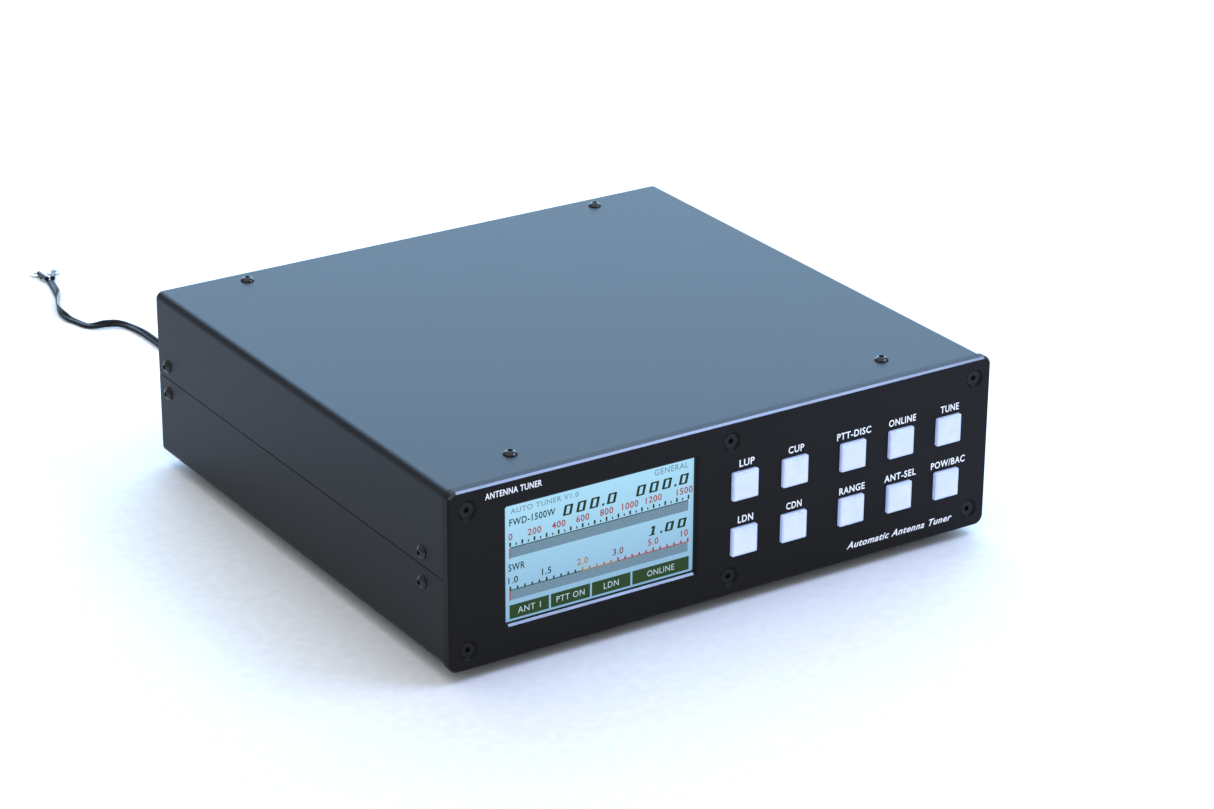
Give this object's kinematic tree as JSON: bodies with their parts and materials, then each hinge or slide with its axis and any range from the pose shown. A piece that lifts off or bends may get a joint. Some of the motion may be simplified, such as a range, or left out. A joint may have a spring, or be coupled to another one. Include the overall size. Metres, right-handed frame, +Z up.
{
  "type": "antenna tuner",
  "caption": "Desktop automatic antenna tuner: folded metal case, front panel with lit display and square push buttons, coaxial sockets behind, power lead.",
  "frame": {"origin": "bottom centre of the tuner without its power lead, on the surface its feet stand on", "axes": "+X to the right seen from the front, +Y to the rear, +Z up; the front panel faces -Y"},
  "size_m": [0.3222, 0.6055, 0.1011],
  "materials": {
    "panel_anodised": "black anodised, fine satin",
    "frame_aluminium": "mill finish",
    "case_paint": "satin dark slate blue powder coat",
    "black_steel": "black oxide",
    "foot_rubber": "matt",
    "plated_steel": "zinc plated",
    "display_screen": "lit liquid crystal display behind flat glass",
    "white_plastic": "white",
    "circuit_board": "green solder mask",
    "black_plastic": "moulded",
    "button_clear": "clear cap over a lit white diffuser",
    "brass": "turned",
    "relay_plastic": "moulded",
    "core_iron": "painted powdered iron",
    "copper_wire": "enamelled copper",
    "capacitor_epoxy": "dipped",
    "ribbon_pvc": "grey",
    "nickel": "nickel plated brass",
    "contact_gold": "gold plated",
    "cord_pvc": "black PVC with a red core",
    "tie_plastic": "black nylon",
    "terminal_metal": "tinned copper with moulded sleeves"
  },
  "bodies": {
    "case": {"front_panel": "panel_anodised", "front_frame": "frame_aluminium", "rear_frame": "frame_aluminium", "rear_panel": "panel_anodised", "top_cover": "case_paint", "bottom_cover": "case_paint", "chassis_plate": "frame_aluminium", "panel_screws": "black_steel", "rear_screws": "black_steel", "side_screws": "black_steel", "top_screws": "black_steel", "bottom_screws": "black_steel", "feet": "foot_rubber", "foot_screws": "plated_steel", "display_frame": "plated_steel", "display_glass": "display_screen", "display_backlight": "white_plastic", "display_board": "circuit_board", "button_board": "circuit_board", "button_switches": "black_plastic", "main_board": "circuit_board", "standoffs": "brass", "board_screws": "plated_steel", "relays": "relay_plastic", "core_mounts": "white_plastic", "toroid_cores": "core_iron", "toroid_windings": "copper_wire", "air_coil": "copper_wire", "capacitors": "capacitor_epoxy", "bridge_core": "black_plastic", "bridge_shield": "plated_steel", "control_chip": "black_plastic", "ribbon_cable": "ribbon_pvc", "rf_input_socket": "nickel", "antenna_1_socket": "nickel", "antenna_2_socket": "nickel", "socket_insulators": "white_plastic", "socket_contacts": "contact_gold", "socket_screws": "plated_steel", "phono_sockets": "contact_gold", "ground_stud": "nickel", "ground_nut": "nickel", "dc_jack": "black_plastic", "dc_plug": "cord_pvc", "cord_near": "cord_pvc", "cord_coil": "cord_pvc", "cord_tie": "tie_plastic", "cord_far": "cord_pvc", "cord_terminals": "terminal_metal"},
    "wing_nut_body": {"wing_nut": "nickel"},
    "lup_key": {"lup_button": "button_clear"},
    "cup_key": {"cup_button": "button_clear"},
    "ptt_key": {"ptt_button": "button_clear"},
    "online_key": {"online_button": "button_clear"},
    "tune_key": {"tune_button": "button_clear"},
    "ldn_key": {"ldn_button": "button_clear"},
    "cdn_key": {"cdn_button": "button_clear"},
    "range_key": {"range_button": "button_clear"},
    "antenna_key": {"antenna_button": "button_clear"},
    "power_key": {"power_button": "button_clear"}
  },
  "joints": [
    {"name": "lup_press", "type": "slide", "parent": "case", "child": "lup_key", "axis": [0, 1, 0], "range_m": [0, 0.0012], "stiffness_N_per_m": 400, "springref_m": -0.002},
    {"name": "cup_press", "type": "slide", "parent": "case", "child": "cup_key", "axis": [0, 1, 0], "range_m": [0, 0.0012], "stiffness_N_per_m": 400, "springref_m": -0.002},
    {"name": "ptt_press", "type": "slide", "parent": "case", "child": "ptt_key", "axis": [0, 1, 0], "range_m": [0, 0.0012], "stiffness_N_per_m": 400, "springref_m": -0.002},
    {"name": "online_press", "type": "slide", "parent": "case", "child": "online_key", "axis": [0, 1, 0], "range_m": [0, 0.0012], "stiffness_N_per_m": 400, "springref_m": -0.002},
    {"name": "tune_press", "type": "slide", "parent": "case", "child": "tune_key", "axis": [0, 1, 0], "range_m": [0, 0.0012], "stiffness_N_per_m": 400, "springref_m": -0.002},
    {"name": "ldn_press", "type": "slide", "parent": "case", "child": "ldn_key", "axis": [0, 1, 0], "range_m": [0, 0.0012], "stiffness_N_per_m": 400, "springref_m": -0.002},
    {"name": "cdn_press", "type": "slide", "parent": "case", "child": "cdn_key", "axis": [0, 1, 0], "range_m": [0, 0.0012], "stiffness_N_per_m": 400, "springref_m": -0.002},
    {"name": "range_press", "type": "slide", "parent": "case", "child": "range_key", "axis": [0, 1, 0], "range_m": [0, 0.0012], "stiffness_N_per_m": 400, "springref_m": -0.002},
    {"name": "antenna_press", "type": "slide", "parent": "case", "child": "antenna_key", "axis": [0, 1, 0], "range_m": [0, 0.0012], "stiffness_N_per_m": 400, "springref_m": -0.002},
    {"name": "power_press", "type": "slide", "parent": "case", "child": "power_key", "axis": [0, 1, 0], "range_m": [0, 0.0012], "stiffness_N_per_m": 400, "springref_m": -0.002},
    {"name": "wing_nut_turn", "type": "hinge", "parent": "case", "child": "wing_nut_body", "pos_m": [-0.025, 0.1525, 0.03], "axis": [0, 1, 0], "continuous": true}
  ]
}
